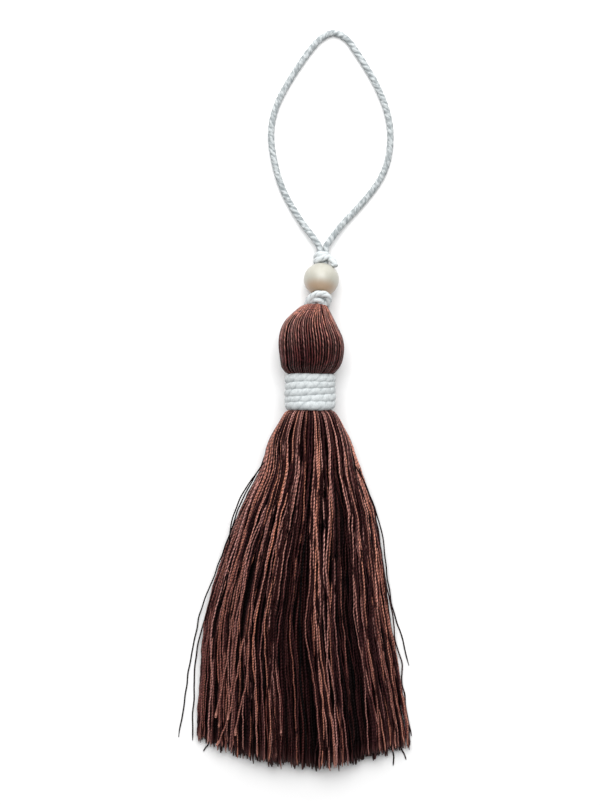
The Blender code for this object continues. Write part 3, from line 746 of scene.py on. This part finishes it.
def hang(name, paths, lengths, thick, tone, frayed, kink, stations, around):
    # strands from their courses: thin where they leave the binding, pointed at the end, or wider and paler
    # where the end has frayed open; kink is the crimp left by the ply, a small wave 5 mm long
    course = cutToLength(paths, lengths, stations)
    longWay = np.linspace(0, 1, stations) * lengths[:, None]
    toEnd = lengths[:, None] - longWay
    for axis, share in ((0, 1.0), (2, 0.6)):
        course[:, :, axis] += share * kink * smoothNoise(len(paths), longWay, 5.0) * ease(longWay, 3, 14)
    course[:, :, 2] = np.maximum(course[:, :, 2], thick)
    fray = frayed[:, None] * ease(2.6 - toEnd, 0, 2.2)
    tip = (1 + 0.55 * fray) * (0.5 + 0.5 * ease(toEnd, 0, 1.0 - 0.5 * frayed[:, None]))
    radius = thick * (0.55 + 0.45 * ease(longWay, 2, 20)) * tip
    rings = sweep(course, np.repeat(radius[..., None], around, axis=2), (0, 0, 1))
    count = len(paths)
    tint = np.where(tone > 0.5, roll.uniform(0, 0.65, count), roll.uniform(0.35, 1, count))
    made = strandMesh(name, rings, walkedLength(course), yarnMaterial, {"tint": tint})
    # painted light and shade: the strands are painted paler towards the neck and darker towards the hem, where the
    # light falls off; they are also paler in the last 3 mm, and a frayed end is the palest
    values = tone[:, None] * (1.1 - 0.27 * ease(longWay, 10, 80)) + 0.22 * fray + 0.09 * (1 - ease(longWay, 4, 30))
    values = np.clip(values + 0.16 * ease(3.2 - toEnd, 0, 2.6), 0, 1)[..., None] * np.ones(around)
    setPoints(made.data, "tone", values)
    return made


def makeSkirt(looks):
    # courses for the bed and the shell, settled together, then cut to lengths that bow the hem
    y = np.concatenate([[looks["top"], 28.9, 28.2, 27.7, 27.2, 26.5, 25.5, 24.2, 22.6],
                        np.linspace(20.8, looks["bottom"], 54)])
    limits = skirtRoom(y)
    bedX, bedZ, bedTone = bedCourses(looks, y, limits)
    shellX, shellZ, shellTone, bundle = shellCourses(looks, y, limits)
    bed, shell = looks["bed"], looks["shell"]
    count = bed + shell
    thick = np.concatenate([np.full(bed, looks["bedRadius"]), np.full(shell, looks["shellRadius"])])[:, None]
    thick = thick * (1 + 0.1 * np.clip(roll.standard_normal((count, 1)), -2, 2))
    room = thick * (0.55 + 0.45 * ease(30 - y, 2, 20))
    room[bed:] *= 1 + (looks["elbow"] - 1) * ease(30 - y, 6, 30)
    x, z = settle(np.vstack([bedX, shellX]), np.vstack([bedZ, shellZ]), room, looks["rounds"])
    paths = np.stack([x, np.broadcast_to(y, x.shape), z], axis=-1)
    end = x[:, -1]
    lengths = looks["length"] + 0.45 * np.clip(roll.standard_normal(count), -2, 2)
    lengths = lengths + 0.8 * np.sin(end * 1.9 + 1.2 * np.sin(end * 0.8)) * roll.uniform(0.4, 1, count)
    middle, half = (end.min() + end.max()) / 2, (end.max() - end.min()) / 2
    lengths = lengths - 2.2 * ((end - middle) / half) ** 2
    lengths[bed:] += 0.9 * np.clip(roll.standard_normal(looks["bundles"]), -1.5, 1.2)[bundle]
    frayed = (roll.random(count) < looks["short"]).astype(float)
    frayed[:bed] = 0
    lengths = lengths - frayed * roll.uniform(*looks["shorter"], count)
    tone = np.concatenate([bedTone, shellTone])
    one = bed + shell // 2
    return [hang(name, paths[part], lengths[part], thick[part], tone[part], frayed[part], kink, *points)
            for name, part, kink, points in (
                ("skirtBed", slice(0, bed), looks["bedKink"], looks["bedPoints"]),
                ("skirtShellOne", slice(bed, one), looks["kink"], looks["shellPoints"]),
                ("skirtShellTwo", slice(one, count), looks["kink"], looks["shellPoints"]))]


# single yarns that have slipped out of the skirt's sides and end
strayRoutes = {
    "leftLong": [
        (-12.6, 11.0, 6.5), (-17.5, 1.7, 5.2), (-20.6, -7.2, 4.2), (-24.5, -17.5, 3.0), (-28.1, -26.9, 1.4),
        (-30.4, -36.4, 0.4), (-32.2, -46.9, 0.3), (-33.5, -56.0, 0.3), (-34.3, -61.0, 0.3), (-34.7, -63.3, 0.3)],
    "leftUpper": [
        (-10.9, 13.5, 7.0), (-12.9, 10.4, 6.4), (-16.1, 6.1, 5.2), (-18.4, 1.1, 4.3), (-19.9, -3.6, 4.2),
        (-20.6, -10.0, 4.8)],
    "leftEdge": [
        (-25.0, -22.0, 3.5), (-26.9, -28.9, 2.6), (-28.8, -35.3, 1.2), (-30.0, -41.7, 0.5), (-30.3, -48.1, 0.4),
        (-30.6, -54.4, 0.3), (-30.9, -64.2, 0.3)],
    "rightLong": [
        (14.2, 13.0, 7.0), (16.9, 8.3, 6.0), (20.2, -0.2, 4.6), (21.9, -6.0, 3.5), (23.1, -15.0, 2.2),
        (24.1, -22.8, 1.1), (25.8, -30.0, 0.4), (27.3, -34.4, 0.3), (29.6, -43.3, 0.3)],
    "rightEdge": [
        (23.0, -20.0, 3.8), (24.9, -28.9, 2.6), (26.0, -37.5, 1.2), (27.6, -42.5, 0.6), (27.5, -47.7, 0.5),
        (28.5, -51.1, 0.4), (28.6, -54.4, 0.4), (30.2, -63.0, 0.4)],
    "rightTip": [
        (23.4, -58.0, 3.0), (24.6, -65.6, 1.0), (25.3, -68.5, 0.4), (25.2, -71.2, 0.3)],
    "cornerTip": [
        (25.2, -58.0, 2.6), (27.1, -65.6, 0.8), (28.2, -68.0, 0.3), (28.9, -69.6, 0.3)],
    "leftTip": [
        (-25.0, -58.0, 2.6), (-26.2, -64.7, 0.9), (-27.1, -66.2, 0.3), (-27.8, -67.2, 0.3)],
}

# short ones lying on the skirt, their ends frayed open and paler; heights come from the skirt below
paleRoutes = {
    "shortLeft": [
        (-16.5, -14.0, 0), (-19.6, -30.0, 0), (-21.2, -42.0, 0), (-23.0, -51.0, 0), (-24.2, -57.4, 0)],
    "shortMiddle": [
        (-15.0, -14.0, 0), (-17.8, -30.0, 0), (-19.0, -42.0, 0), (-20.2, -51.0, 0), (-20.9, -58.1, 0)],
    "curled": [
        (-12.6, -14.0, 0), (-14.6, -30.0, 0), (-15.2, -40.0, 0), (-15.8, -48.1, 0), (-17.6, -55.0, 0),
        (-18.8, -62.3, 0)],
    "lowTip": [
        (-15.6, -30.0, 0), (-18.6, -47.0, 0), (-20.4, -56.0, 0), (-21.9, -60.5, 0), (-24.0, -65.2, 0)],
}


strayLooks = {"radius": 0.19, "stations": 90, "round": 6, "tone": (0.02, 0.16), "tint": 0.7}
paleLooks = {"radius": 0.2, "stations": 90, "round": 8, "tone": 0.66, "tint": 0.3, "above": 0.15}


def makePale(routes, looks):
    # the skirt's top at x is its sides' height + (high - sides) sqrt(1 - across^2); the ends open out like a brush
    stations = looks["stations"]
    paths = np.array([evenRoute(route, stations) for route in routes.values()])
    s = np.linspace(0, 1, stations)
    paths[:, :, 0] += 0.12 * smoothNoise(len(paths), s * 40, 6.5) * ease(s, 0, 0.2)
    for path in paths:
        left, right, low, high, sides = skirtRoom(path[:, 1])
        across = np.clip((path[:, 0] - (left + right) / 2) / ((right - left) / 2), -1, 1)
        path[:, 2] = sides + (high - sides) * np.sqrt(1 - across ** 2) + looks["above"] - 0.9 * (1 - ease(s, 0, 0.3))
    fray = ease(s, 0.93, 0.985)
    thick = looks["radius"] * (1 + 0.9 * fray - 0.5 * ease(s, 0.985, 1))
    rings = sweep(paths, np.broadcast_to(thick[:, None], (len(paths), stations, looks["round"])), (0, 0, 1))
    made = strandMesh("paleYarn", rings, walkedLength(paths), yarnMaterial,
                      {"tint": np.full(len(paths), looks["tint"])})
    values = np.broadcast_to((looks["tone"] + 0.3 * fray)[:, None], rings.shape[:3])
    setPoints(made.data, "tone", values)
    return made


def makeStrays(routes, looks):
    # tubes along the routes with a slight sway, pointed at the end
    stations = looks["stations"]
    paths = np.array([evenRoute(route, stations) for route in routes.values()])
    lengths = walkedLength(paths)[:, -1]
    tone = roll.uniform(*looks["tone"], len(paths))
    s = np.linspace(0, 1, stations)
    paths[:, :, 0] += 0.12 * smoothNoise(len(paths), s * lengths[:, None], 9) * ease(s, 0, 0.2)
    thick = np.full((len(paths), stations, looks["round"]), looks["radius"]) * (1 - 0.5 * ease(s, 0.96, 1))[:, None]
    return strandMesh("strayYarn", sweep(paths, thick, (0, 0, 1)), walkedLength(paths), yarnMaterial,
                      {"tone": tone, "tint": np.full(len(paths), looks["tint"])})


for piece in makeSkirt(skirtLooks) + [makeStrays(strayRoutes, strayLooks), makePale(paleRoutes, paleLooks)]:
    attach(piece, "root")
    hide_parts("yarn_bundle")
print("skirt made")


def makePanel(name, size, power, place, tilt):
    # a rectangular area light, tipped by tilt degrees from facing straight down
    panel = bpy.data.lights.new(name, "AREA")
    panel.shape = "RECTANGLE"
    panel.size, panel.size_y = size
    panel.energy = power
    hung = bpy.data.objects.new(name, panel)
    hung.location = place
    hung.rotation_euler = (math.radians(tilt), 0, 0)
    bpy.context.scene.collection.objects.link(hung)


# floor, sky and two panels, in metres and watts: the window hangs above and beyond the loop and gives the bead
# its soft highlight, and the low one stands beyond the loop and lights what faces it
stageLooks = {
    "paper": "#f6f6f6", "size": 6.0, "light": "#ffffff", "sky": 0.28,
    "panels": {"windowPanel": ((0.9, 1.1), 15.5, (0, 0.64, 0.85), 0),
               "lowPanel": ((3.0, 0.8), 15.0, (0, 1.4, 0.45), -75)},
}


def makeStage(looks):
    # a white paper floor: matt, and pale enough to fade into the background
    material, tree, shader = newMaterial("whitePaper", Roughness=0.9, Specular_IOR_Level=0.1)
    shader.inputs["Base Color"].default_value = linear(looks["paper"])
    bpy.ops.mesh.primitive_plane_add(size=looks["size"])
    floor = bpy.context.object
    floor.name = "floor"
    floor.data.materials.append(material)
    world = bpy.data.worlds.new("studio")
    bpy.context.scene.world = world
    world.use_nodes = True
    background = world.node_tree.nodes["Background"]
    background.inputs["Color"].default_value = linear(looks["light"])
    background.inputs["Strength"].default_value = looks["sky"]
    for name, panel in looks["panels"].items():
        makePanel(name, *panel)


makeStage(stageLooks)
bpy.context.scene.view_settings.view_transform = "Standard"
print("stage made")
